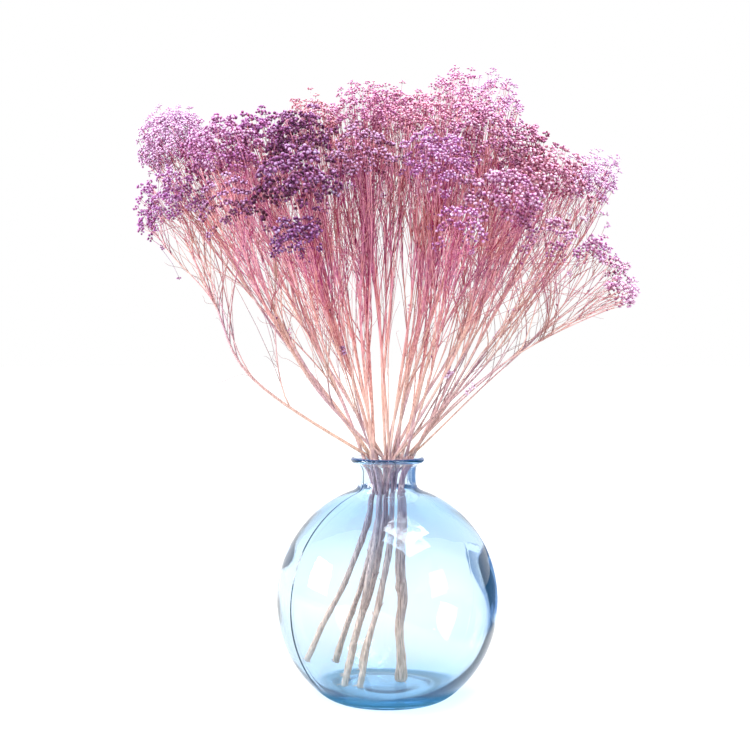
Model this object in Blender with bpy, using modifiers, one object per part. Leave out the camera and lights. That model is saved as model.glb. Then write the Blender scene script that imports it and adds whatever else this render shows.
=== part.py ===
"""A bunch of dried broom bloom standing in a round glass vase.

Metres, +Z up. The origin is the centre of the vase's foot, on the table, and +X is to the right
when the bunch is seen from its front, which faces -Y.
"""

import math
from collections import namedtuple

import bmesh
import bpy
import numpy as np
from mathutils import Quaternion, Vector
from mathutils.bvhtree import BVHTree

# Vase: a ball a little taller than it is wide, cut flat at the foot
BODY_RADIUS = 0.1115
BODY_HALF_HEIGHT = 0.116
BODY_CENTRE_Z = 0.0977
WALL = 0.004
FLOOR_Z = 0.0075
HEEL_Z = 0.0030
FOOT_RING_OUTER = 0.0575
FOOT_RING_INNER = 0.0440
PUNT_RADIUS = 0.0300
PUNT_HEIGHT = 0.0035
NECK_RADIUS = 0.0275
NECK_BASE_Z = 0.2125
LIP_RADIUS = 0.0365
LIP_Z = 0.2420
LIP_ROLL = 0.0022
FLARE_Z = 0.2345
VASE_SIDES = 36

# Woody stems: from the glass, through the neck, to the crown just over the lip
NECK_Z = 0.2150
NECK_CIRCLE = 0.0145
CROWN_Z = 0.2460
CROWN_SPREAD = 1.50
STEM_RADIUS = 0.0031
CROWN_RADIUS = 0.0026
STEM_BOW = 0.34

# Branches and twigs: a pull is a handle's length, in parts of the distance that the curve spans
BRANCH_RADIUS = 0.00150
BRANCH_ROOT = 0.004
BRANCH_PULL_LOW = 0.42
BRANCH_PULL_HIGH = 0.36
BRANCH_UPRIGHT = 0.35
SWEEP_PULL = 0.5
TWIG_RADIUS = 0.00105
TWIG_TIP_RADIUS = 0.00080
TWIG_PULL = 0.40
TWIG_START = (0.34, 0.58)
TWIGS_PER_HEAD = 4
TWIGS_PER_SMALL_HEAD = 2

# Heads: in parts of a head's radius, but the small head's radius and the spacing are in metres
SMALL_HEAD = 0.022
HEAD_TOP = 1.20
HEAD_BASE = 1.05
HEAD_BELOW = 1.35
HEAD_DISC = 0.55
TWIG_RING = 0.41
CORE = 0.86
FLORET_RISE = (0.0, 0.14)
FLORET_JITTER = 0.05
FLORET_FLOOR = 0.08
FLORET_SPACING = 0.0062

CLEARANCE = 0.00035
SEED = 11

Head = namedtuple("Head", "x y z radius sweep")
Stem = namedtuple("Stem", "neck_angle foot thickness tone heads")

# A neck angle of None is the stem in the middle of the neck, and a foot is where that stem's cut
# end stands. A head's x, y and z are its middle, and sweep is how far its branch leans outwards
# before it rises.
STEMS = {
    "left": Stem(
        180,
        (-0.084, 0.004),
        0.9,
        "violet",
        (
            Head(-0.214, 0.020, 0.556, 0.032, 0.35),
            Head(-0.212, -0.030, 0.487, 0.031, 1.00),
            Head(-0.160, -0.050, 0.536, 0.033, 0.55),
            Head(-0.130, 0.026, 0.551, 0.034, 0.20),
        ),
    ),
    "front_left": Stem(
        240,
        (-0.045, -0.017),
        0.8,
        "plum",
        (
            Head(-0.150, -0.100, 0.482, 0.030, 0.55),
            Head(-0.086, -0.110, 0.502, 0.034, 0.30),
            Head(-0.083, -0.144, 0.452, 0.019, 0.60),
            Head(-0.024, -0.084, 0.528, 0.032, 0.10),
            Head(-0.084, -0.030, 0.551, 0.028, 0.15),
        ),
    ),
    "front_right": Stem(
        300,
        (-0.029, -0.023),
        0.8,
        "violet",
        (
            Head(0.044, -0.096, 0.522, 0.032, 0.10),
            Head(0.109, -0.104, 0.487, 0.034, 0.30),
            Head(0.068, -0.146, 0.459, 0.020, 0.55),
            Head(0.154, -0.096, 0.446, 0.024, 0.50),
        ),
    ),
    "right": Stem(
        0,
        (0.013, -0.001),
        1.6,
        "lavender",
        (
            Head(0.088, -0.030, 0.556, 0.029, 0.10),
            Head(0.138, 0.030, 0.546, 0.030, 0.20),
            Head(0.154, -0.040, 0.510, 0.031, 0.35),
            Head(0.201, 0.012, 0.515, 0.027, 0.45),
            Head(0.205, -0.017, 0.444, 0.016, -0.10),
            Head(0.228, 0.012, 0.429, 0.013, -0.20),
            Head(0.232, -0.022, 0.404, 0.016, -0.25),
        ),
    ),
    "back_right": Stem(
        60,
        (-0.027, 0.042),
        0.8,
        "lavender",
        (
            Head(0.108, 0.086, 0.598, 0.033, 0.15),
            Head(0.142, 0.112, 0.523, 0.034, 0.40),
            Head(0.053, 0.125, 0.540, 0.034, 0.25),
        ),
    ),
    "back_left": Stem(
        120,
        (-0.056, 0.044),
        0.9,
        "rose",
        (
            Head(-0.077, 0.078, 0.577, 0.033, 0.10),
            Head(-0.145, 0.103, 0.522, 0.034, 0.45),
            Head(-0.030, 0.125, 0.545, 0.034, 0.20),
        ),
    ),
    "centre": Stem(
        None,
        (-0.044, 0.014),
        1.0,
        "rose",
        (
            Head(-0.026, -0.012, 0.585, 0.030, 0.00),
            Head(0.006, 0.056, 0.590, 0.032, 0.00),
            Head(0.034, -0.028, 0.572, 0.026, 0.00),
            Head(0.070, 0.026, 0.600, 0.031, 0.10),
        ),
    ),
}

# Colour, roughness and transmission
GLASS = ((0.55, 0.78, 0.90, 1.0), 0.05, 1.0)
STALK = ((0.62, 0.33, 0.27, 1.0), 0.75, 0.0)
BLOOM_TONES = {
    "violet": ((0.36, 0.16, 0.36, 1.0), 0.70, 0.0),
    "plum": ((0.24, 0.09, 0.19, 1.0), 0.70, 0.0),
    "lavender": ((0.58, 0.38, 0.56, 1.0), 0.70, 0.0),
    "rose": ((0.48, 0.24, 0.31, 1.0), 0.70, 0.0),
}


def clear_scene():
    for obj in list(bpy.data.objects):
        bpy.data.objects.remove(obj, do_unlink=True)


def new_collection(name):
    collection = bpy.data.collections.new(name)
    bpy.context.scene.collection.children.link(collection)
    return collection


def material(name, look):
    colour, roughness, transmission = look
    made = bpy.data.materials.new(name)
    made.use_nodes = True
    made.diffuse_color = colour
    shader = made.node_tree.nodes["Principled BSDF"]
    shader.inputs["Base Color"].default_value = colour
    shader.inputs["Roughness"].default_value = roughness
    shader.inputs["Metallic"].default_value = 0.0
    shader.inputs["Transmission Weight"].default_value = transmission
    return made


def add_object(name, data, collection):
    obj = bpy.data.objects.new(name, data)
    collection.objects.link(obj)
    return obj


def evaluated_mesh(obj):
    """The object's mesh with its modifiers or its bevel applied."""
    graph = bpy.context.evaluated_depsgraph_get()
    return bpy.data.meshes.new_from_object(obj.evaluated_get(graph))


def arc(centre, radii, start, end, steps):
    """Points (radius, height) on an ellipse's arc, angles in degrees from +X."""
    turns = np.radians(np.linspace(start, end, steps + 1))
    return [
        (centre[0] + radii[0] * math.cos(a), centre[1] + radii[1] * math.sin(a))
        for a in turns
    ]


def ball_angle(radius, half_width):
    """The angle, in degrees, at which the top of a ball this wide is `radius` from the axis."""
    return math.degrees(math.acos(radius / half_width))


def vase_profile():
    """The section from the middle of the inner floor, up the inside, over the lip and down outside."""
    centre = (0.0, BODY_CENTRE_Z)
    inner = (BODY_RADIUS - WALL, BODY_HALF_HEIGHT - WALL)
    outer = (BODY_RADIUS, BODY_HALF_HEIGHT)
    neck_inside = NECK_RADIUS - WALL
    floor_angle = math.degrees(math.asin((FLOOR_Z - BODY_CENTRE_Z) / inner[1]))
    heel_angle = math.degrees(math.asin((HEEL_Z - BODY_CENTRE_Z) / outer[1]))
    lip_middle = (LIP_RADIUS - LIP_ROLL, LIP_Z - LIP_ROLL)
    points = [(0.0, FLOOR_Z + PUNT_HEIGHT), (PUNT_RADIUS, FLOOR_Z)]
    points += arc(centre, inner, floor_angle, ball_angle(neck_inside, inner[0]), 7)
    points += [(neck_inside, NECK_BASE_Z), (neck_inside, FLARE_Z)]
    points += arc(lip_middle, (LIP_ROLL, LIP_ROLL), 135, -60, 3)
    points += [(NECK_RADIUS, FLARE_Z - LIP_ROLL), (NECK_RADIUS, NECK_BASE_Z)]
    points += arc(centre, outer, ball_angle(NECK_RADIUS + 0.5 * WALL, outer[0]), heel_angle, 9)
    points += [(FOOT_RING_OUTER, 0.0), (FOOT_RING_INNER, 0.0)]
    points += [(PUNT_RADIUS, PUNT_HEIGHT), (0.0, PUNT_HEIGHT)]
    return points


def make_vase(collection, glass):
    """One turned shell of glass: the section is a wire that a Screw turns about the axis."""
    points = vase_profile()
    mesh = bpy.data.meshes.new("glass_vase")
    edges = [(i, i + 1) for i in range(len(points) - 1)]
    mesh.from_pydata([(r, 0.0, z) for r, z in points], edges, [])
    vase = add_object("glass_vase", mesh, collection)
    turn = vase.modifiers.new("turned", "SCREW")
    turn.axis = "Z"
    turn.steps = VASE_SIDES
    turn.render_steps = VASE_SIDES
    turn.use_merge_vertices = True
    turn.merge_threshold = 0.00005
    turn.use_smooth_shade = True
    mesh.materials.append(glass)
    return vase


def cubic(start, start_pull, end_pull, end, count):
    """Points of a cubic Bezier curve; the pulls are the handles' vectors from its two ends."""
    corners = [start, start + start_pull, end + end_pull, end]
    made = []
    for i in range(count):
        t = i / (count - 1)
        weights = ((1 - t) ** 3, 3 * t * (1 - t) ** 2, 3 * t**2 * (1 - t), t**3)
        made.append(sum((w * c for w, c in zip(weights, corners)), Vector((0, 0, 0))))
    return made


def triangle_section(helpers):
    """A three-cornered section for twigs, turned into a tube by a curve's bevel object."""
    curve = bpy.data.curves.new("twig_section", "CURVE")
    curve.dimensions = "2D"
    spline = curve.splines.new("POLY")
    spline.points.add(2)
    for i, point in enumerate(spline.points):
        turn = math.radians(90 - 120 * i)
        point.co = (math.cos(turn), math.sin(turn), 0.0, 1.0)
    spline.use_cyclic_u = True
    section = add_object("twig_section", curve, helpers)
    section.hide_render = True
    section.display_type = "WIRE"
    return section


def tube(points, radii, collection, section=None):
    """A closed tube along the points, as a mesh object: six-sided, or of the given section."""
    curve = bpy.data.curves.new("stalk", "CURVE")
    curve.dimensions = "3D"
    curve.use_fill_caps = True
    if section:
        curve.bevel_mode = "OBJECT"
        curve.bevel_object = section
    else:
        curve.bevel_depth = 1.0
        curve.bevel_resolution = 1
    spline = curve.splines.new("POLY")
    spline.points.add(len(points) - 1)
    for point, place, radius in zip(spline.points, points, radii):
        point.co = (*place, 1.0)
        point.radius = radius
    drawn = add_object("stalk_curve", curve, collection)
    mesh = evaluated_mesh(drawn)
    bpy.data.objects.remove(drawn, do_unlink=True)
    shell = bmesh.new()
    shell.from_mesh(mesh)
    bmesh.ops.remove_doubles(shell, verts=shell.verts, dist=1e-6)
    bmesh.ops.recalc_face_normals(shell, faces=shell.faces)
    shell.to_mesh(mesh)
    shell.free()
    return add_object("stalk", mesh, collection)


def fuse(name, trunk, pieces, collection, finish):
    """The trunk and every piece in the pieces collection as one body."""
    join = trunk.modifiers.new("grown_together", "BOOLEAN")
    join.operation = "UNION"
    join.operand_type = "COLLECTION"
    join.collection = pieces
    mesh = evaluated_mesh(trunk)
    bpy.data.objects.remove(trunk, do_unlink=True)
    for piece in list(pieces.objects):
        bpy.data.objects.remove(piece, do_unlink=True)
    mesh.name = name
    mesh.materials.clear()
    mesh.materials.append(finish)
    mesh.shade_smooth()
    mesh.set_sharp_from_angle(angle=math.radians(60))
    return add_object(name, mesh, collection)


def neck_place(stem, height, spread=1.0):
    """Where a stem passes a height in the neck: in the middle, or on a circle about it."""
    if stem.neck_angle is None:
        return Vector((0.0, 0.0, height))
    turn = math.radians(stem.neck_angle)
    reach = NECK_CIRCLE * spread
    return Vector((reach * math.cos(turn), reach * math.sin(turn), height))


def seat_on_glass(foot, neck, radius, glass):
    """Where a stem's cut end stands when it just clears the glass under its foot.

    The foot is dropped on to the glass from the ball's middle, and then the end slides back up
    its own line, towards the neck, until every point of its rim is clear.
    """
    above = Vector((foot[0], foot[1], BODY_CENTRE_Z))
    place = glass.ray_cast(above, Vector((0.0, 0.0, -1.0)))[0]
    line = (neck - place).normalized()
    side = line.orthogonal().normalized()
    other = line.cross(side)
    step = 0.0001
    while True:
        gaps = []
        for turn in np.radians(np.arange(0, 360, 20)):
            point = place + radius * (math.cos(turn) * side + math.sin(turn) * other)
            nearest, normal, _, distance = glass.find_nearest(point)
            outside = (point - nearest).dot(normal) > 0.0
            gaps.append(distance if outside else -distance)
        if min(gaps) >= CLEARANCE:
            return place
        place = place + step * line


def woody_points(stem, glass):
    """A stem from its foot on the glass, through the neck, to the crown where it branches."""
    radius = STEM_RADIUS * stem.thickness
    neck = neck_place(stem, NECK_Z)
    crown = neck_place(stem, CROWN_Z, CROWN_SPREAD)
    foot = seat_on_glass(stem.foot, neck, radius, glass)
    pull = STEM_BOW * (neck.z - foot.z)
    leaning = pull * (neck - foot).normalized()
    bow = cubic(foot, leaning, Vector((0.0, 0.0, -pull)), neck, 8)
    return bow + [crown], [radius] * 6 + [CROWN_RADIUS] * 3


def head_frame(head, crown):
    """A head's middle, the way it faces, and the way its branch leaves the crown."""
    middle = Vector((head.x, head.y, head.z))
    straight = (middle - crown).normalized()
    facing = straight.lerp(Vector((0.0, 0.0, 1.0)), BRANCH_UPRIGHT).normalized()
    sideways = Vector((straight.x, straight.y, 0.0))
    leaving = (straight + head.sweep * sideways).normalized()
    return middle, facing, leaving


def underside(head, middle, facing):
    """The middle of a head's flat underside, and the places around it where its twigs end."""
    centre = middle - (HEAD_BASE * head.radius + CLEARANCE) * facing
    side = facing.orthogonal().normalized()
    other = facing.cross(side)
    reach = TWIG_RING * head.radius
    count = TWIGS_PER_HEAD if head.radius > SMALL_HEAD else TWIGS_PER_SMALL_HEAD
    ring = []
    for i in range(count):
        turn = 2 * math.pi * (i + 0.5) / count
        ring.append(centre + reach * (math.cos(turn) * side + math.sin(turn) * other))
    return centre, ring


def grow_branch(head, crown, pieces, section, draw):
    """One branch from the crown to a head, and the wiry twigs that leave it for the head's edge."""
    middle, facing, leaving = head_frame(head, crown)
    centre, ring = underside(head, middle, facing)
    reach = (centre - crown).length
    root = crown - BRANCH_ROOT * leaving
    low_pull = BRANCH_PULL_LOW * (1.0 + SWEEP_PULL * head.sweep) * reach
    pulls = (low_pull * leaving, -BRANCH_PULL_HIGH * reach * facing)
    path = cubic(root, *pulls, centre, 7)
    tube(path, np.linspace(BRANCH_RADIUS, TWIG_RADIUS, len(path)), pieces, section)
    dense = cubic(root, *pulls, centre, 41)
    for end in ring:
        leave = int(len(dense) * draw.uniform(*TWIG_START))
        start = dense[leave]
        along = (dense[leave + 1] - start).normalized()
        pull = TWIG_PULL * (end - start).length
        twig = cubic(start, pull * along, -pull * facing, end, 5)
        tube(twig, np.linspace(TWIG_RADIUS, TWIG_TIP_RADIUS, len(twig)), pieces, section)


def make_head(name, head, crown, collection, finish, draw):
    """A dense egg-shaped head: a ball whose surface is raised into florets, flat underneath.

    The ball is a cube cut into cells and blown round, so its corners form a chessboard. Every
    second corner is a floret, raised by an amount of its own, and those between sink to the
    core; each cell is creased from one sunk corner to the other, so every floret stands alone.
    The flat underside is where the branch and the twigs run in.
    """
    middle, facing, _ = head_frame(head, crown)
    cells = max(3, round(head.radius / FLORET_SPACING))
    ball = bmesh.new()
    bmesh.ops.create_cube(ball, size=2.0)
    bmesh.ops.subdivide_edges(ball, edges=ball.edges, cuts=cells - 1, use_grid_fill=True)
    spin = Quaternion((0.0, 0.0, 1.0), draw.uniform(0.0, math.pi))
    turn = facing.to_track_quat("Z", "Y") @ spin
    under = []
    sunk = set()
    for vert in ball.verts:
        across, along, up = (round((c + 1.0) * 0.5 * cells) for c in vert.co)
        way = Vector([math.tan(c * math.pi / 4) for c in vert.co]).normalized()
        rise = draw.uniform(*FLORET_RISE)
        shift = Vector(draw.uniform(-FLORET_JITTER, FLORET_JITTER, 3))
        if up == 0:
            rim = Vector((way.x, way.y, 0.0))
            place = HEAD_DISC * rim.normalized() - Vector((0.0, 0.0, HEAD_BASE))
            if 0 < across < cells and 0 < along < cells:
                under.append(vert)
        else:
            floret = (across + along + up) % 2 == 0
            place = (way + shift).normalized() * (1.0 + rise if floret else CORE)
            if not floret:
                sunk.add(vert)
            place.z *= HEAD_TOP if place.z > 0.0 else HEAD_BELOW
            place.z = max(place.z, FLORET_FLOOR - HEAD_BASE)
        vert.co = middle + turn @ (place * head.radius)
    for face in list(ball.faces):
        between = [vert for vert in face.verts if vert in sunk]
        if len(between) == 2:
            bmesh.utils.face_split(face, *between)
    bmesh.ops.dissolve_verts(ball, verts=under)
    bmesh.ops.triangulate(ball, faces=ball.faces)
    bmesh.ops.recalc_face_normals(ball, faces=ball.faces)
    mesh = bpy.data.meshes.new(name)
    ball.to_mesh(mesh)
    ball.free()
    mesh.materials.append(finish)
    mesh.shade_smooth()
    return add_object(name, mesh, collection)


def main():
    clear_scene()
    bunch = new_collection("dried_broom_bloom")
    helpers = new_collection("helpers")
    stalk = material("dyed_stalk", STALK)
    blooms = {tone: material(f"{tone}_bloom", look) for tone, look in BLOOM_TONES.items()}
    vase = make_vase(bunch, material("blue_glass", GLASS))
    bpy.context.view_layer.update()
    vase_surface = BVHTree.FromObject(vase, bpy.context.evaluated_depsgraph_get())
    section = triangle_section(helpers)
    draw = np.random.default_rng(SEED)
    for name, stem in STEMS.items():
        pieces = new_collection(f"pieces_{name}")
        points, radii = woody_points(stem, vase_surface)
        trunk = tube(points, radii, helpers)
        crown = points[-1]
        for number, head in enumerate(stem.heads, 1):
            grow_branch(head, crown, pieces, section, draw)
            finish = blooms[stem.tone]
            make_head(f"bloom_{name}_{number}", head, crown, bunch, finish, draw)
        fuse(f"stem_{name}", trunk, pieces, bunch, stalk)
        bpy.data.collections.remove(pieces)


main()
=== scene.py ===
"""A bunch of dried, dyed broom bloom standing in a round blue glass vase."""

import itertools
import math

import bpy
import numpy as np
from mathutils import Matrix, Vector


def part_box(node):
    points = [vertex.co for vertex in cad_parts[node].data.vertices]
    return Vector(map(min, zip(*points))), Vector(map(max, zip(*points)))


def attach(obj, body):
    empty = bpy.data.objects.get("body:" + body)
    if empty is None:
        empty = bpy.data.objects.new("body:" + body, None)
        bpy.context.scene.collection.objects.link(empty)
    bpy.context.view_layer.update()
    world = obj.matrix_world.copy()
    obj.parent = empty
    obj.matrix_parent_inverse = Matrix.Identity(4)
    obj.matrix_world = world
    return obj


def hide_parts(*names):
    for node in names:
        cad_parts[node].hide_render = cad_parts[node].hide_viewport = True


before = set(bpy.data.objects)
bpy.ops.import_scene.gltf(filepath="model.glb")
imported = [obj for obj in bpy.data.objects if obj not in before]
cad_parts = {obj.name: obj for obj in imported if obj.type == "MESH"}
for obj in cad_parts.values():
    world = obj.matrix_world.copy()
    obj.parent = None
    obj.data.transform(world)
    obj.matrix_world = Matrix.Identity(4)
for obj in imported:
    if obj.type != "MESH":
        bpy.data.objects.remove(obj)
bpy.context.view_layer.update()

# The glass vase
# One piece of recycled glass blown in a two-part mould: a ball with a short neck, a lip flared and
# rolled over while hot, and a pushed-up foot. The mould leaves a thin seam down each side.

# Lengths are in metres and turns in degrees. The thick side is the right wall below the shoulder,
# the dent a short bulge inside the left wall. At THIN_TURN up the ball the wall is half as thick.
vase_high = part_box("glass_vase")[1]
LIP_Z = vase_high.z
BALL_RADIUS = vase_high.x
BALL_HALF_HEIGHT = 1.040 * BALL_RADIUS
LIP_RADIUS = BALL_RADIUS - 0.0742
BALL_MIDDLE_Z = 0.0977
BODY_TURNS = 180
SIDE_WALL = 0.0032
SHOULDER_WALL = 0.0100
FOOT_WALL = 0.0108
THIN_TURN = 78.0
THIN_WIDTH = 9.0
THICK_SIDE = 0.0033
THICK_SIDE_TOP = 0.1515
THICK_SIDE_EDGE = 0.010
THICK_SIDE_TURN = 27.0
THICK_SIDE_BELOW = 0.35
DENT = 0.0034
DENT_Z = 0.143
DENT_LENGTH = 0.0065
DENT_TURN = 14.0
WAVE = 0.00012
INNER_WAVE = 0.00042
NECK_WALL = 0.0030
NECK_RADIUS = 0.0284
NECK_FOOT_Z = 0.2150
FLARE_Z = 0.2315
ROLL = 0.0031
SEAMS = ((212.0, 0.0007), (32.0, 0.0002))
SEAM_WIDTH = 0.60
SEAM_LOW = 0.006
SEAM_HIGH = 0.236
HEEL_Z = 0.0030
FLOOR_Z = 0.0078
PONTIL_RADIUS = 0.0310
FLOOR_CURVE = ((0.0, 0.0016), (0.012, 0.0014), (0.024, 0.0006))
FLOOR_CURVE += ((PONTIL_RADIUS, -0.0006), (0.036, 0.0), (0.046, 0.0002))
FOOT_CURVE = ((0.0605, 0.0009), (0.0575, 0.0), (0.0515, 0.0), (0.0455, 0.0))
FOOT_CURVE += ((0.0425, 0.0014), (0.038, 0.0028), (0.034, 0.0026), (PONTIL_RADIUS, 0.0012))
FOOT_CURVE += ((0.024, 0.0014), (0.012, 0.0018), (0.0, 0.0019))
WHITE = (1.0, 1.0, 1.0, 1.0)


def ellipse(half_width, half_height, middle_z, start, end, count):
    """Radius and height of points on an ellipse, r = a cos u and z = m + b sin u, u in degrees."""
    turns = np.radians(np.linspace(start, end, count))
    return np.stack([half_width * np.cos(turns), middle_z + half_height * np.sin(turns)], 1)


def vase_section():
    """Radius and height along the cut glass, from the middle of the inner floor up the inside, over
    the rolled lip, down the outside and under the foot to the middle, and 1 where it is outside.

    Outside, the ball is an ellipse; inside, it is the ellipse less a wall that thickens with the
    square of the height's sine above and its third power below, as glass gathers there, and is
    half as thick beside the neck. The lip is a small circle. Corners are rounded: each point goes
    halfway to the middle of its two neighbours.
    """
    mouth = NECK_RADIUS - NECK_WALL
    inner_top = math.degrees(math.acos(mouth / (BALL_RADIUS - SHOULDER_WALL)))
    floor_turn = math.degrees(math.asin((FLOOR_Z - BALL_MIDDLE_Z) / (BALL_HALF_HEIGHT - FOOT_WALL)))
    outer_top = math.degrees(math.acos((NECK_RADIUS + 0.001) / BALL_RADIUS))
    heel_turn = math.degrees(math.asin((HEEL_Z - BALL_MIDDLE_Z) / BALL_HALF_HEIGHT))
    roll = ellipse(ROLL, ROLL, LIP_Z - ROLL, 130, -85, 9)
    roll[:, 0] += LIP_RADIUS - ROLL
    floor = np.array(FLOOR_CURVE) + [0.0, FLOOR_Z]
    turns = np.radians(np.linspace(floor_turn, inner_top, 60))
    gather = np.where(turns > 0, SHOULDER_WALL, FOOT_WALL) - SIDE_WALL
    wall = SIDE_WALL + gather * np.where(turns > 0, np.sin(turns) ** 2, np.abs(np.sin(turns)) ** 3)
    wall = wall * (1 - 0.5 * np.exp(-(((np.degrees(turns) - THIN_TURN) / THIN_WIDTH) ** 2)))
    inside = [(BALL_RADIUS - wall) * np.cos(turns), (BALL_HALF_HEIGHT - wall) * np.sin(turns)]
    inside = np.stack(inside, 1) + [0.0, BALL_MIDDLE_Z]
    throat = [(mouth, z) for z in np.linspace(NECK_FOOT_Z, FLARE_Z, 7)]
    throat += [(mouth + 0.0012, FLARE_Z + 0.003), (mouth + 0.0040, FLARE_Z + 0.0065)]
    throat += [(mouth + 0.0075, LIP_Z - 0.0022)]
    under_lip = [(NECK_RADIUS + 0.0042, LIP_Z - 0.0058), (NECK_RADIUS + 0.0014, FLARE_Z + 0.0015)]
    under_lip += [(NECK_RADIUS, z) for z in np.linspace(FLARE_Z, NECK_FOOT_Z, 7)]
    outside = ellipse(BALL_RADIUS, BALL_HALF_HEIGHT, BALL_MIDDLE_Z, outer_top, heel_turn, 64)
    points = np.concatenate([floor, inside, throat, roll, under_lip, outside, FOOT_CURVE])
    marks = np.zeros(len(points))
    marks[len(floor) + len(inside) + len(throat) + len(roll):] = 1.0
    for _ in range(2):
        middles = (points[:-2] + points[2:]) / 2
        rounded = points.copy()
        rounded[1:-1] = (points[1:-1] + middles) / 2
        flat = (points[:, 1] < 1e-6) | (points[:, 0] < 1e-6)
        points = np.where(flat[:, None], points, rounded)
    return points, marks


def turned_angles(count):
    """Angles all round, evenly spaced, with nine extra close to each seam, in radians."""
    even = np.arange(count) * 360.0 / count
    close = [seam + np.linspace(-1.6, 1.6, 9) for seam, height in SEAMS]
    return np.radians(np.unique(np.concatenate([even, *close]) % 360.0))


def turned(section, marks, angles):
    """Vertices and faces of the section turned about the Z axis, its two ends closed as poles.

    The point at (r, z) and angle a is (r cos a, r sin a, z). Outside, r grows by a narrow bell
    curve of a at each seam; inside, exp(-(a / turn)^4) thickens the right wall, most just below
    the shoulder, and a small bell of a and z the left. Both walls wander by slow waves.
    """
    r = section[1:-1, 0][:, None]
    z = section[1:-1, 1][:, None]
    outer = marks[1:-1][:, None]
    a = angles[None, :]
    body = np.clip((z - SEAM_LOW) / 0.01, 0, 1) * np.clip((SEAM_HIGH - z) / 0.004, 0, 1)
    seam = 0.0
    for turn, height in SEAMS:
        apart = (np.degrees(a) - turn + 180.0) % 360.0 - 180.0
        seam = seam + height * np.exp(-((apart / SEAM_WIDTH) ** 2))
    below = np.clip((THICK_SIDE_TOP - z) / THICK_SIDE_EDGE, 0, 1)
    below = below**2 * (3 - 2 * below) * np.clip(r / BALL_RADIUS, 0, 1) ** 3
    near_top = np.exp(-(((z - THICK_SIDE_TOP + 0.008) / 0.030) ** 2))
    below = below * (THICK_SIDE_BELOW + (1 - THICK_SIDE_BELOW) * near_top)
    apart = (np.degrees(a) + 180.0) % 360.0 - 180.0
    thick = THICK_SIDE * below * np.exp(-((apart / THICK_SIDE_TURN) ** 4))
    apart = np.degrees(a) % 360.0 - 180.0
    dent = np.exp(-((apart / DENT_TURN) ** 2) - ((z - DENT_Z) / DENT_LENGTH) ** 2)
    waves = np.sin(2 * a + 38 * z + 1.0) + 0.6 * np.sin(3 * a - 61 * z)
    waves = (WAVE * outer + INNER_WAVE * (1 - outer)) * (waves + 0.4 * np.sin(5 * a + 90 * z))
    r = r - (1 - outer) * (thick + DENT * dent) + body * (outer * seam + waves)
    rings = np.stack([r * np.cos(a), r * np.sin(a), np.broadcast_to(z, r.shape)], 2)
    across, around = rings.shape[:2]
    ends = [[0.0, 0.0, section[0, 1]], [0.0, 0.0, section[-1, 1]]]
    points = np.concatenate([rings.reshape(-1, 3), ends])
    row = np.arange(around)
    after = (row + 1) % around
    lower = (np.arange(across - 1) * around)[:, None]
    quads = np.stack([lower + row, lower + around + row, lower + around + after, lower + after], 2)
    first, last = across * around, across * around + 1
    top = (across - 1) * around
    start_fan = np.stack([np.full(around, first), row, after], 1)
    end_fan = np.stack([np.full(around, last), top + after, top + row], 1)
    return points, [quads.reshape(-1, 4), start_fan, end_fan]


def make_piece(name, parts, finish):
    """One object at the origin from parts of (points, face arrays, values): a face array's row holds
    the corner numbers of one face, and values are named numbers, one for each point of the part."""
    starts = np.cumsum([0] + [len(part[0]) for part in parts])
    points = np.concatenate([part[0] for part in parts])
    corners = [(faces + start).ravel() for start, part in zip(starts, parts) for faces in part[1]]
    corners = np.concatenate(corners).astype(np.int32)
    sizes = [np.full(len(faces), faces.shape[1]) for part in parts for faces in part[1]]
    sizes = np.concatenate(sizes)
    mesh = bpy.data.meshes.new(name)
    mesh.vertices.add(len(points))
    mesh.vertices.foreach_set("co", points.ravel().astype(np.float32))
    mesh.loops.add(len(corners))
    mesh.loops.foreach_set("vertex_index", corners)
    mesh.polygons.add(len(sizes))
    mesh.polygons.foreach_set("loop_start", (np.cumsum(sizes) - sizes).astype(np.int32))
    mesh.update(calc_edges=True)
    mesh.validate()
    mesh.shade_smooth()
    for key in parts[0][2]:
        values = np.concatenate([np.broadcast_to(part[2][key], len(part[0])) for part in parts])
        mesh.attributes.new(key, "FLOAT", "POINT").data.foreach_set("value", values.astype(np.float32))
    mesh.materials.append(finish)
    piece = bpy.data.objects.new(name, mesh)
    bpy.context.scene.collection.objects.link(piece)
    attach(piece, "root")
    return piece


def tree_tools(tree):
    """Two functions for a node tree. The first gives a node its inputs, by name or in order: each is
    a number, a colour, a socket, or a node, for its first output. The second adds a node so."""

    def give(node, inputs):
        pairs = inputs.items() if isinstance(inputs, dict) else enumerate(inputs)
        for socket, source in pairs:
            if isinstance(source, bpy.types.Node):
                source = source.outputs[0]
            if isinstance(source, bpy.types.NodeSocket):
                tree.links.new(source, node.inputs[socket])
            else:
                node.inputs[socket].default_value = source

    def add(kind, inputs=(), **settings):
        node = tree.nodes.new("ShaderNode" + kind)
        for key, value in settings.items():
            setattr(node, key, value)
        give(node, inputs)
        return node

    return give, add


def new_material(name):
    """A material, its Principled shader, and the two functions for its node tree."""
    made = bpy.data.materials.new(name)
    made.use_nodes = True
    return made, made.node_tree.nodes["Principled BSDF"], *tree_tools(made.node_tree)


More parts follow.
